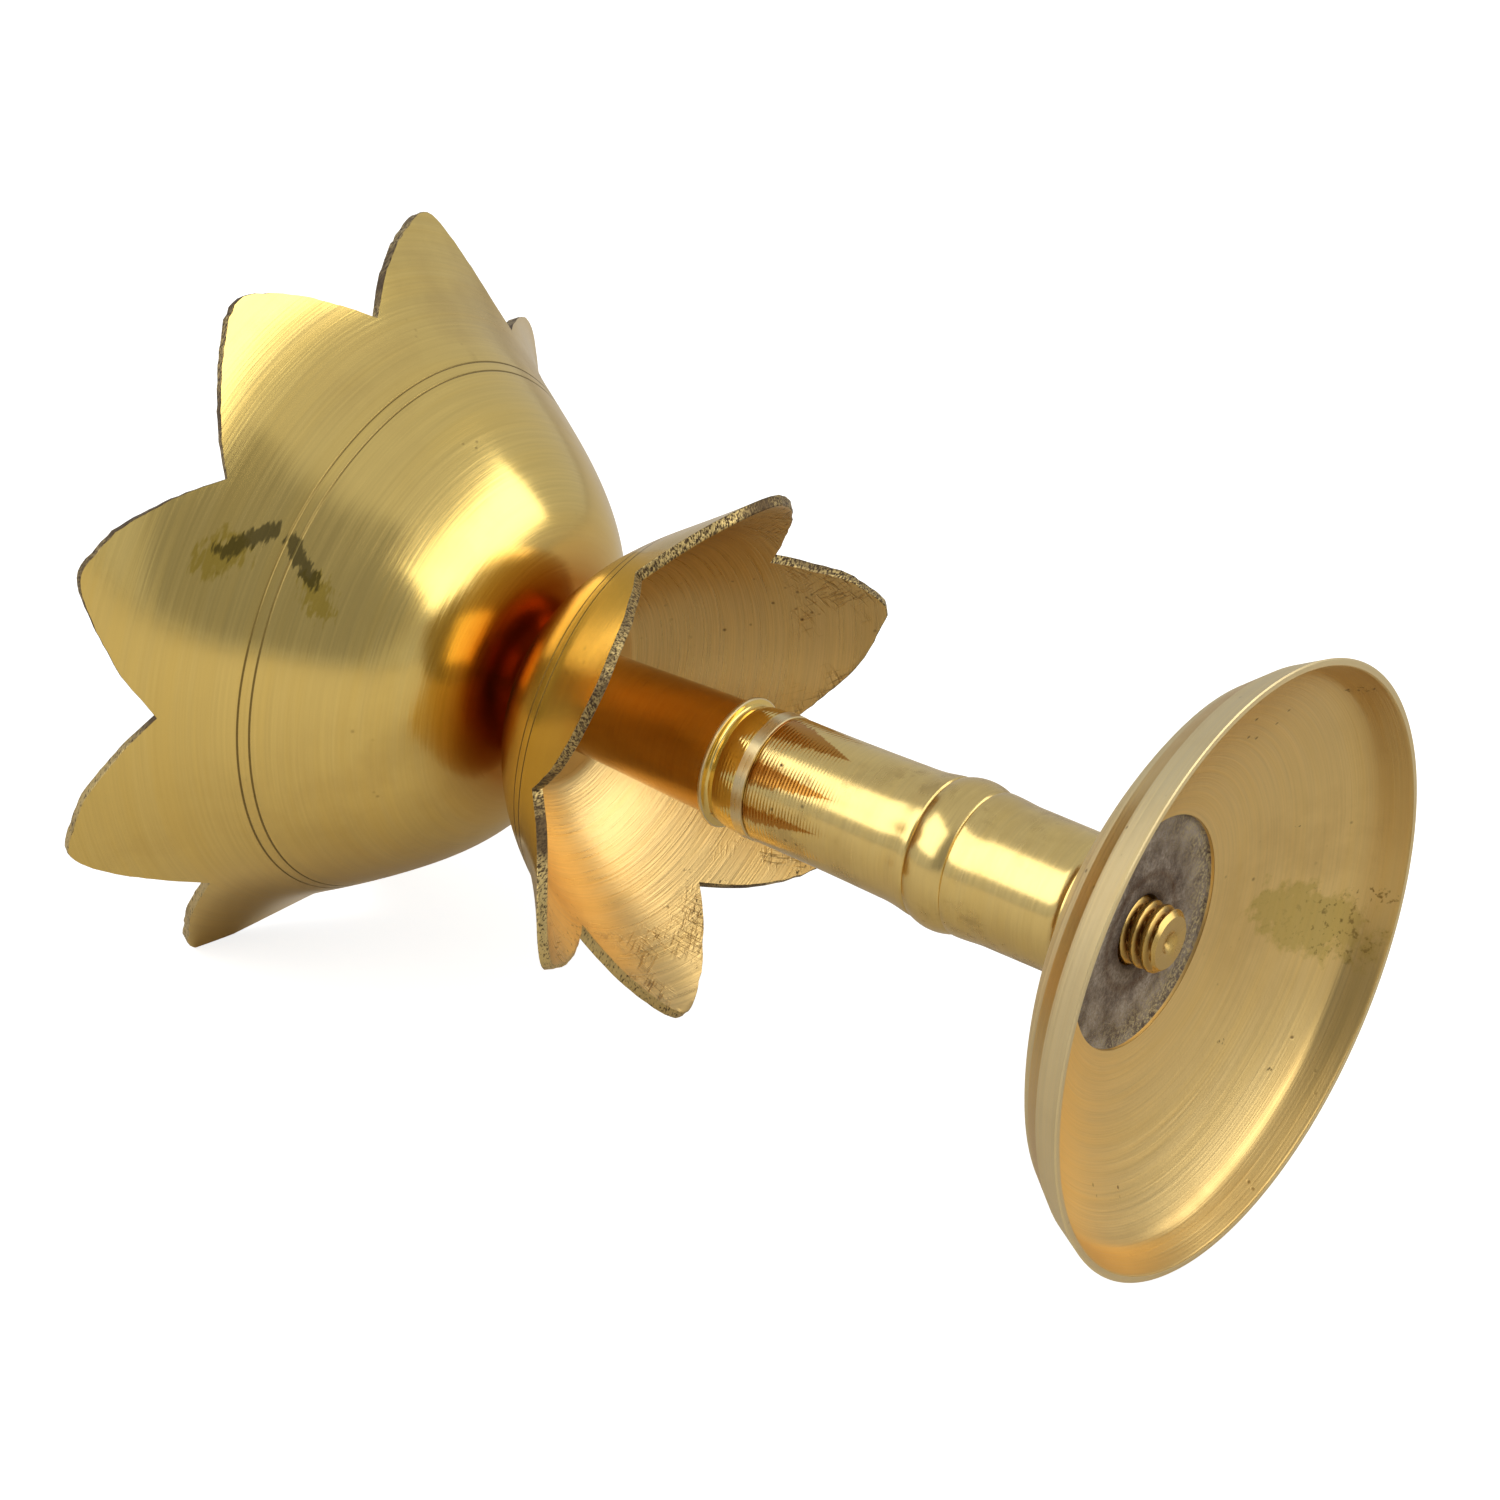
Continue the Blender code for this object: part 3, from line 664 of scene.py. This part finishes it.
def make_materials():
    """The materials by name. Colours are linear."""
    polished, satin, matte = (0.88, 0.64, 0.20), (0.81, 0.665, 0.37), (0.82, 0.59, 0.235)
    return {
        "foot_outside": brass("foot_outside", satin, 0.47, tarnish=0.18, ring_bump=0.5),
        "foot_inside": brass(
            "foot_inside", matte, 0.34, tarnish=0.34, ring=0.30 * MM, ring_bump=0.7, ring_tint=0.12,
            spots=0.30, anisotropy=0.25, extra=stains_and_painted_rim_shade,
        ),
        "pad": cast_pad("cast_pad"),
        "pillar": brass(
            "pillar_polished", (0.84, 0.62, 0.23), 0.22, tarnish=0.60, ring_bump=0.2, spots=0.45,
            extra=chatter_and_painted_reflections,
        ),
        "collar": brass("collar_polished", polished, 0.13, tarnish=0.15, ring_bump=0.15, extra=chattered),
        "collar_band": brass("collar_band", satin, 0.30, tarnish=0.15, ring_bump=0.3),
        # painted shade: the sleeve's darker, more orange base is partly its own colour and partly the shade
        # and reflected brass colour deep between the two lotuses
        "sleeve": brass("sleeve_polished", (0.66, 0.36, 0.08), 0.15, tarnish=0.5, ring_bump=0.3),
        "small_outside": brass(
            "small_lotus_outside", (0.80, 0.56, 0.14), 0.16, tarnish=0.20, ring_bump=0.25, grime=0.95,
            extra=painted_neck_shade(27 * MM, 12 * MM),
        ),
        "small_inside": brass(
            "small_lotus_inside", (0.76, 0.52, 0.20), 0.31, tarnish=0.34, ring=0.27 * MM, ring_bump=1.0,
            ring_tint=0.22, spots=0.35, anisotropy=0.25, extra=filed,
        ),
        "large_outside": brass(
            "large_lotus_outside", polished, 0.185, tarnish=0.24, ring_bump=0.3, grime=0.70, extra=bowl_painted_light_and_dots
        ),
        "large_inside": brass(
            "large_lotus_inside", matte, 0.34, tarnish=0.30, ring_bump=0.9, ring_tint=0.16, extra=filed
        ),
        "edge": sawn_edge("sawn_edge"),
        "rod": brass(
            "rod_brass", (0.62, 0.42, 0.13), 0.27, tarnish=0.6, ring_bump=0.2, run="z", anisotropy=0.2,
            extra=thread_root_painted_shade,
        ),
        "hardware": brass("hardware_brass", (0.72, 0.52, 0.20), 0.33, tarnish=0.5, run="z", anisotropy=0.2),
        "cup": brass("cup_brass", satin, 0.24, tarnish=0.25, ring_bump=0.7),
        "wick_holder": brass("wick_holder_brass", satin, 0.22, tarnish=0.35, ring_bump=0.4),
    }


# ---------------------------------------------------------------- pieces

def settle(obj, body, slot, *nodes):
    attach(obj, body)
    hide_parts(*nodes)


def make_foot(m):
    rim, crease, shoulder, seat = mm((37.0, 0.15), (35.05, 3.7), (32.0, 7.4), (9.25, 18.5))
    inner_rim, inner_crease, pad_edge = mm((36.05, 0.12), (34.2, 4.1), (14.1, 12.7))
    pad = Vector((13.9 * MM, 13.4 * MM))
    pad_ceiling = pad.y + 0.6 * MM
    outline = mm((36.2, 0.0), (36.85, 0.0)) + [rim]
    for corner in (crease, shoulder):
        straight = corner - outline[-1]
        outline += line(outline[-1], corner - straight.normalized() * 0.16 * MM, 8)
        outline.append(corner)
    outline += bezier(shoulder, *mm((27.4, 10.6), (18.6, 14.3)), seat, 40)
    outline += line(seat, Vector((BORE_RADIUS, FOOT_HIGH.z)), 4)
    outline.append(Vector((BORE_RADIUS, pad.y + 0.3 * MM)))
    outline.append(Vector((BORE_RADIUS + 0.4 * MM, pad.y)))
    outline += line(outline[-1], pad, 26)
    outline += mm((14.05, 13.1), (14.15, 12.78)) + [pad_edge]
    outline += arc(pad_edge, mm((32.7, 5.2))[0], 1.15 * MM, 60)
    outline += bezier(outline[-1], inner_crease, inner_crease, mm((35.0, 2.3))[0], 14)
    outline += line(outline[-1], inner_rim, 12)

    def slot_of(middle):
        if BORE_RADIUS < middle.x < pad_edge.x and middle.y < pad_ceiling:
            return 2
        return 1 if middle.y < inside_height(middle.x) else 0

    def inside_height(radius):
        """A height between the foot's outer and inner surface."""
        if radius > 34.0 * MM:
            return (36.5 * MM - radius) * 2.2 + 0.05 * MM
        return 15.3 * MM - (radius - pad_edge.x) * 0.47

    def rough_cast(angle, radius, height):
        if BORE_RADIUS + 0.5 * MM < radius < pad.x - 0.1 * MM and height < pad_ceiling:
            spot = Vector((math.cos(angle) * radius, math.sin(angle) * radius, 0))
            lump = noise.noise(spot * 900) * 0.07 + noise.noise(spot * 250) * 0.10
            height += lump * MM
        return radius, height

    materials = [m["foot_outside"], m["foot_inside"], m["pad"]]
    foot = turned("foot_casting", outline, materials, slot_of=slot_of, shift=rough_cast)
    settle(foot, "stand", "foot_brass", "base_foot")


def make_pillar(m):
    low = PILLAR_LOW.z / MM
    outline = mm((9.2, low), (9.2, low + 0.4))
    outline += arc(outline[-1], mm((8.5, low + 2.3))[0], 0.22 * MM, 8)
    outline += line(outline[-1], mm((8.5, 30.5))[0], 12)
    outline += bezier(outline[-1], *mm((8.5, 31.8), (8.75, 33.0), (8.72, 34.6)), 10)
    outline += mm((8.66, 34.82), (8.42, 34.98), (8.60, 35.14))
    outline += arc(outline[-1], mm((8.60, 40.05))[0], -0.55 * MM, 24)
    outline += mm((8.40, 40.22), (8.56, 40.42))
    outline += bezier(outline[-1], *mm((8.50, 41.6), (8.12, 42.3), (8.02, 44.6)), 12)
    outline += bezier(outline[-1], *mm((7.95, 47.0), (7.78, 52.0), (7.72, 56.0)), 12)
    outline += line(outline[-1], mm((7.64, 62.75))[0], 16)
    outline += mm((7.52, 62.9), (BORE_RADIUS / MM, 62.9))
    outline += [Vector((BORE_RADIUS, PILLAR_LOW.z))]
    pillar = turned("pillar_turned", outline, [m["pillar"]])
    settle(pillar, "stand", "pillar_brass", "pillar")


def make_collar(m):
    outline = mm((7.58, 0), (7.72, 0.10), (7.75, 1.50), (7.58, 1.62))
    outline += bezier(outline[-1], *mm((7.60, 3.1), (7.46, 4.4), (7.10, 5.08)), 20)
    outline += bezier(outline[-1], *mm((7.02, 5.35), (7.25, 5.52), (7.80, 5.62)), 8)
    outline += mm((7.93, 5.70), (7.97, 5.86), (7.94, 6.02), (7.82, 6.15), (7.60, 6.2), (7.1, 6.2))
    outline += [Vector((BORE_RADIUS, COLLAR_HIGH.z - COLLAR_LOW.z)), Vector((BORE_RADIUS, 0))]

    def slot_of(middle):
        height = middle.y - COLLAR_LOW.z
        return 1 if middle.x > 7 * MM and not 1.56 * MM < height < 5.6 * MM else 0

    outline = raised(outline, COLLAR_LOW.z)
    collar = turned("collar_ring", outline, [m["collar"], m["collar_band"]], slot_of=slot_of)
    settle(collar, "stand", "pillar_brass", "collar")


def make_sleeve(m):
    low, top = Vector((7.0 * MM, SLEEVE_LOW.z)), Vector((6.1 * MM, SLEEVE_HIGH.z))
    outline = [low] + bezier(low, *mm((6.85, 76), (6.3, 84)), top, 24)
    outline += [Vector((BORE_RADIUS, SLEEVE_HIGH.z)), Vector((BORE_RADIUS, SLEEVE_LOW.z))]
    sleeve = turned("sleeve_tube", outline, [m["sleeve"]])
    settle(sleeve, "stand", "sleeve_brass", "inner_sleeve")


def make_small_lotus(m):
    start, tip = mm((11.1, 0.3), (32.7, 24.6))
    curve = Curve([start] + bezier(start, *mm((21.2, 5.6), (23.5, 12.4)), tip, 90))
    foot = mm((BORE_RADIUS / MM, 0), (7.0, 0), (9.6, 0), (10.4, 0.06))
    petals = [(math.radians(angle), *rest) for angle, *rest in SMALL_PETALS]
    lotus = petal_bowl(
        "small_lotus_bowl", foot, curve, 1.3 * MM, 2.0 * MM, petals, PETAL_COLUMNS, SMALL_HIGH.z, -1,
        [m["small_outside"], m["edge"], m["small_inside"]], lines=(10.3 * MM, 11.8 * MM), seed=3.0,
    )
    settle(lotus, "stand", "small_lotus_brass", "small_lotus")


def make_large_lotus(m):
    neck_top, belly, waist, tip = mm((8.0, 0.7), (13.9, 2.7), (34.1, 23.4), (47.0, 38.2))
    points = [belly] + bezier(belly, *mm((22.6, 4.2), (27.6, 12.6)), waist, 80)
    points += bezier(waist, *mm((36.3, 27.2), (39.6, 33.0)), tip, 50)
    foot = mm((BORE_RADIUS / MM, 0), (6.5, 0), (7.8, 0), (8.0, 0.2)) + [neck_top]
    foot += bezier(neck_top, *mm((8.1, 1.6), (11.0, 2.1)), belly, 14)[:-1]
    pitch = TAU / len(LARGE_TIPS)
    petals = []
    for k, (share, height) in enumerate(LARGE_TIPS):
        petals.append(((k + 0.5) * pitch, LARGE_NOTCH_HEIGHT, share, height, 0.0))
    lotus = petal_bowl(
        "large_lotus_bowl", foot, Curve(points), 1.5 * MM, 5.0 * MM, petals, PETAL_COLUMNS, LARGE_LOW.z, 1,
        [m["large_outside"], m["edge"], m["large_inside"]], lines=(20.5 * MM, 21.7 * MM), seed=11.0,
    )
    settle(lotus, "stand", "large_lotus_brass", "large_lotus")


def make_rod(m):
    """The stud: a real helical thread at its visible end, with a chamfer and a centre-drilled dimple."""
    pitch, root = 1.5 * MM, ROD_RADIUS - 0.72 * MM
    low = ROD_LOW.z
    thread_top = low + 8 * MM
    sides = 72
    heights = [low + 0.1 * MM * i for i in range(81)]

    def radius_at(angle, height):
        phase = (height / pitch - angle / TAU) % 1.0
        crest = min(1.0, 1.35 * (1 - abs(2 * phase - 1)) + 0.02)
        fade = min(1.0, max(0.0, (thread_top - height) / (1.2 * MM)))
        thread = root + (ROD_RADIUS - root) * (1 - fade * (1 - crest))
        chamfer = ROD_RADIUS - 0.75 * MM + (height - low) * 1.1
        return min(thread, chamfer)

    bm = bmesh.new()
    along = bm.verts.layers.float.new("along")
    columns = []
    for i in range(sides):
        angle = TAU * i / sides
        profile = raised(mm((0.0, 1.1), (0.55, 0.75), (1.25, 0.08), (1.5, 0), (2.2, 0)), low)
        profile += [(radius_at(angle, low) - 0.08 * MM, low)]
        profile += [(radius_at(angle, height), height) for height in heights]
        profile += [(ROD_RADIUS, height * MM) for height in range(18, 108, 6)]
        profile += [(ROD_RADIUS, ROD_HIGH.z - 0.6 * MM), (root, ROD_HIGH.z), (0.0, ROD_HIGH.z)]
        column = []
        for radius, height in profile:
            vert = bm.verts.new((math.cos(angle) * radius, math.sin(angle) * radius, height))
            vert[along] = height
            column.append(vert)
        columns.append(column)
    for this, following in zip(columns, columns[1:] + columns[:1]):
        for j in range(1, len(this)):
            corners = (this[j - 1], this[j], following[j], following[j - 1])
            bm.faces.new(corners)
    bmesh.ops.remove_doubles(bm, verts=bm.verts, dist=1e-7)
    rod = finished("threaded_rod", bm, [m["rod"]])
    settle(rod, "stand", "rod_brass", "tie_rod")


def make_cup(m):
    bottom, rim = CUP_LOW.z, Vector((CUP_HIGH.x, CUP_HIGH.z - 0.3 * MM))
    wall = 1.2 * MM
    skirt_top = bottom + 10.2 * MM
    floor = skirt_top + 1.4 * MM
    skirt = 10.6 * MM
    waist = Vector((skirt - 0.6 * MM, skirt_top))
    outline = [Vector((0.0, skirt_top)), Vector((skirt - wall - 0.8 * MM, skirt_top))]
    outline += line(outline[-1], Vector((skirt - wall, bottom)), 6)
    outline += [Vector((skirt + 0.8 * MM, bottom)), Vector((skirt + 1.0 * MM, bottom + 0.25 * MM))]
    outline += bezier(
        outline[-1], outline[-1] + Vector((0, 0.8)) * MM, waist - Vector((-0.2, 6)) * MM, waist, 16
    )
    outline += bezier(waist, waist + Vector((6, 1.2)) * MM, rim - Vector((0.5, 8)) * MM, rim, 40)
    inner_rim = rim - Vector((wall, 0))
    outline += arc(rim, inner_rim, -0.3 * MM, 6)
    floor_edge = Vector((9.0 * MM, floor))
    outline += bezier(
        inner_rim, inner_rim - Vector((0.5, 7)) * MM, floor_edge + Vector((4, 0.3)) * MM, floor_edge, 36
    )
    outline += line(floor_edge, Vector((0.0, floor)), 6)
    cup = turned("oil_cup_turned", outline, [m["cup"]])
    bm = bmesh.new()
    bm.from_mesh(cup.data)
    doubled = [face for face in bm.faces if face.calc_area() < 1e-14]
    bmesh.ops.delete(bm, geom=doubled, context="FACES")
    bmesh.ops.remove_doubles(bm, verts=bm.verts, dist=1e-7)
    bm.to_mesh(cup.data)
    bm.free()
    settle(cup, "oil_cup", "cup_brass", "oil_cup")


def make_wick_holder(m):
    bottom, top = WICK_LOW.z, WICK_HIGH.z
    foot_radius, tube, bore = WICK_HIGH.x, 2.8 * MM, 1.7 * MM
    foot_edge = Vector((foot_radius, bottom + 0.9 * MM))
    bevel = 0.15 * MM
    outline = [Vector((bore, bottom)), Vector((foot_radius - bevel, bottom))]
    outline += [Vector((foot_radius, bottom + bevel)), foot_edge]
    outline += bezier(
        foot_edge, foot_edge + Vector((-0.3, 0.7)) * MM, Vector((tube, bottom + 1.2 * MM)),
        Vector((tube, bottom + 3.6 * MM)), 16,
    )
    outline += line(outline[-1], Vector((tube, top - 1.6 * MM)), 6)
    outline += arc(outline[-1], Vector((tube - 0.1 * MM, top - 0.5 * MM)), -0.22 * MM, 8)
    outline += [Vector((tube - 0.4 * MM, top)), Vector((bore + 0.2 * MM, top))]
    outline.append(Vector((bore, top - 0.2 * MM)))
    holder = turned("wick_holder_turned", outline, [m["wick_holder"]], sides=120)
    settle(holder, "wick_holder", "cup_brass", "wick_holder")


# ---------------------------------------------------------------- stage, light and camera

TARGET = Vector((0.0019, -0.0003, 0.0678))
CAMERA_AZIMUTH, CAMERA_ELEVATION, CAMERA_ROLL = 11.32, -28.64, 67.33
CAMERA_DISTANCE = 0.818
CAMERA_LENS = 170.2
REST_DIRECTION = math.radians(158.2)  # the side of the lamp that faces the floor
REST_LEAN = math.atan2(6.4, 133.0)  # the large lotus is wider than the foot
FLOOR_SHADE, FLOOR_GLOW = 0.62, 0.80
TENT_SIDE, TENT_TOP = 0.55, 0.58
# The tent's open side. Each edge has its degrees around the table from the camera, or up, and half the width
# that it fades over.
OPENING_LEFT, OPENING_RIGHT, OPENING_TOP = (-40.0, 5.0), (38.0, 3.0), (54.0, 4.0)
OPENING_SHADE = 0.30
SILL_FROM, SILL_SLOPE = -12.0, 0.8  # the opening's lower edge rises to the left from this azimuth on


def table_axes():
    """Right, forward and up of the floor that the lying lamp rests on, seen from the camera."""
    radial = Vector((math.cos(REST_DIRECTION), math.sin(REST_DIRECTION), 0))
    up = -radial * math.cos(REST_LEAN) + Vector((0, 0, math.sin(REST_LEAN)))
    back = camera_back()
    forward = -(back - up * back.dot(up)).normalized()
    return forward.cross(up), forward, up, radial


def camera_back():
    azimuth, elevation = math.radians(CAMERA_AZIMUTH), math.radians(CAMERA_ELEVATION)
    flat = math.cos(elevation)
    return Vector((math.sin(azimuth) * flat, -math.cos(azimuth) * flat, math.sin(elevation)))


def make_camera():
    data = bpy.data.cameras.new("camera")
    data.lens = CAMERA_LENS
    data.sensor_width = 36.0
    data.clip_start, data.clip_end = 0.01, 50.0
    camera = bpy.data.objects.new("camera", data)
    bpy.context.scene.collection.objects.link(camera)
    back = camera_back()
    camera.location = TARGET + back * CAMERA_DISTANCE
    camera.rotation_mode = "QUATERNION"
    level = (-back).to_track_quat("-Z", "Y")
    camera.rotation_quaternion = level @ Quaternion((0, 0, 1), -math.radians(CAMERA_ROLL))
    bpy.context.scene.camera = camera


def around_table(azimuth, elevation, distance):
    """A place seen from the lamp in a direction of the table, with azimuth 0 away from the camera."""
    right, forward, up, _ = table_axes()
    azimuth, elevation = math.radians(azimuth), math.radians(elevation)
    level = right * math.sin(azimuth) + forward * math.cos(azimuth)
    return TARGET + (level * math.cos(elevation) + up * math.sin(elevation)) * distance


def faced(obj, place):
    """Put a flat light at a place, upright on the table and facing the lamp."""
    bpy.context.scene.collection.objects.link(obj)
    back = (place - TARGET).normalized()
    side = table_axes()[2].cross(back).normalized()
    turn = Matrix((side, back.cross(side), back)).transposed()
    obj.matrix_world = Matrix.Translation(place) @ turn.to_4x4()
    obj.visible_camera = False


def softbox(name, azimuth, elevation, distance, width, height, radiance):
    data = bpy.data.lights.new(name, "AREA")
    data.shape = "RECTANGLE"
    data.size, data.size_y = width, height
    data.energy = radiance * math.pi * width * height
    faced(bpy.data.objects.new(name, data), around_table(azimuth, elevation, distance))


def make_floor():
    """A pale floor that touches the foot's rim and two petals, and isn't seen from behind."""
    _, _, up, radial = table_axes()
    touch = radial * FOOT_RADIUS
    reach = 1.6
    bm = bmesh.new()
    bmesh.ops.create_circle(bm, cap_ends=True, segments=96, radius=reach)
    mesh = bpy.data.meshes.new("floor")
    bm.to_mesh(mesh)
    bm.free()
    material = bpy.data.materials.new("floor")
    material.use_nodes = True
    tree = material.node_tree
    shader = tree.nodes["Principled BSDF"]
    shader.inputs["Base Color"].default_value = (FLOOR_SHADE, FLOOR_SHADE * 0.94, FLOOR_SHADE * 0.85, 1)
    shader.inputs["Roughness"].default_value = 0.9
    shader.inputs["Specular IOR Level"].default_value = 0.0
    shader.inputs["Emission Color"].default_value = (0.93, 0.965, 1.0, 1)
    path = tree.nodes.new("ShaderNodeLightPath")
    glow = tree.nodes.new("ShaderNodeMath")
    glow.operation = "MULTIPLY"
    glow.inputs[1].default_value = FLOOR_GLOW
    tree.links.new(path.outputs["Is Camera Ray"], glow.inputs[0])
    tree.links.new(glow.outputs[0], shader.inputs["Emission Strength"])
    clear = tree.nodes.new("ShaderNodeBsdfTransparent")
    side = tree.nodes.new("ShaderNodeNewGeometry")
    mix = tree.nodes.new("ShaderNodeMixShader")
    tree.links.new(side.outputs["Backfacing"], mix.inputs[0])
    tree.links.new(shader.outputs[0], mix.inputs[1])
    tree.links.new(clear.outputs[0], mix.inputs[2])
    tree.links.new(mix.outputs[0], tree.nodes["Material Output"].inputs["Surface"])
    mesh.materials.append(material)
    obj = bpy.data.objects.new("floor", mesh)
    bpy.context.scene.collection.objects.link(obj)
    obj.location = touch - up * 0.0001
    obj.rotation_mode = "QUATERNION"
    obj.rotation_quaternion = up.to_track_quat("Z", "Y")


def make_world():
    """A pale tent that is open towards the camera, and white where the camera sees past the floor."""
    right, forward, up, _ = table_axes()
    world = bpy.data.worlds.new("tent")
    bpy.context.scene.world = world
    world.use_nodes = True
    tree = world.node_tree
    coordinates = tree.nodes.new("ShaderNodeTexCoord")

    def linked(kind, inputs, **settings):
        node = tree.nodes.new(kind)
        for key, value in settings.items():
            setattr(node, key, value)
        for index, value in inputs.items():
            if isinstance(value, bpy.types.NodeSocket):
                tree.links.new(value, node.inputs[index])
            else:
                node.inputs[index].default_value = value
        return node

    def along(axis):
        inputs = {0: coordinates.outputs["Generated"], 1: axis}
        return linked("ShaderNodeVectorMath", inputs, operation="DOT_PRODUCT").outputs["Value"]

    def calc(operation, a, b=0.0):
        return linked("ShaderNodeMath", {0: a, 1: b}, operation=operation).outputs[0]

    def edge(value, at, soft):
        """0 below at, 1 above it, over a soft width."""
        inputs = {"Value": value, "From Min": at - soft, "From Max": at + soft}
        return linked("ShaderNodeMapRange", inputs, interpolation_type="SMOOTHSTEP").outputs["Result"]

    # degrees, with the camera's side at 0 azimuth
    azimuth = calc("ARCTAN2", calc("MULTIPLY", along(right), -1.0), calc("MULTIPLY", along(forward), -1.0))
    azimuth = calc("MULTIPLY", azimuth, 180 / math.pi)
    height = calc("MULTIPLY", calc("ARCSINE", along(up)), 180 / math.pi)
    opening = edge(azimuth, *OPENING_LEFT)
    for beyond in (edge(azimuth, *OPENING_RIGHT), edge(height, *OPENING_TOP)):
        opening = calc("MULTIPLY", opening, calc("SUBTRACT", 1.0, beyond))
    sill = calc("MAXIMUM", calc("MULTIPLY", calc("SUBTRACT", SILL_FROM, azimuth), SILL_SLOPE), 0.0)
    opening = calc("MULTIPLY", opening, edge(calc("SUBTRACT", height, sill), 0.0, 1.5))
    rise = {"Value": height, "From Min": 0.0, "From Max": 90.0, "To Min": TENT_SIDE, "To Max": TENT_TOP}
    tent = linked("ShaderNodeMapRange", rise).outputs["Result"]
    shade = linked("ShaderNodeMix", {"Factor": opening, 2: tent, 3: OPENING_SHADE}).outputs[0]
    path = tree.nodes.new("ShaderNodeLightPath").outputs["Is Camera Ray"]
    shade = linked("ShaderNodeMix", {"Factor": path, 2: shade, 3: 1.0}).outputs[0]
    tree.links.new(shade, tree.nodes["Background"].inputs["Strength"])
    tree.nodes["Background"].inputs["Color"].default_value = (0.98, 1.0, 1.06, 1.0)


def make_lights():
    softbox("right_box", 104, 32.5, 0.90, 1.32, 0.50, 2.1)
    softbox("left_box", -115, 40, 0.80, 0.95, 0.68, 1.75)


def main():
    bpy.context.scene.view_settings.view_transform = "Standard"
    make_camera()
    m = make_materials()
    make_foot(m)
    make_pillar(m)
    make_collar(m)
    make_sleeve(m)
    make_small_lotus(m)
    make_large_lotus(m)
    make_rod(m)
    make_cup(m)
    make_wick_holder(m)
    for name in ("clamp_washer", "clamp_nut"):
        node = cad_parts[name]
        node.data.materials.clear()
        node.data.materials.append(m["hardware"])
    make_floor()
    make_world()
    make_lights()


main()
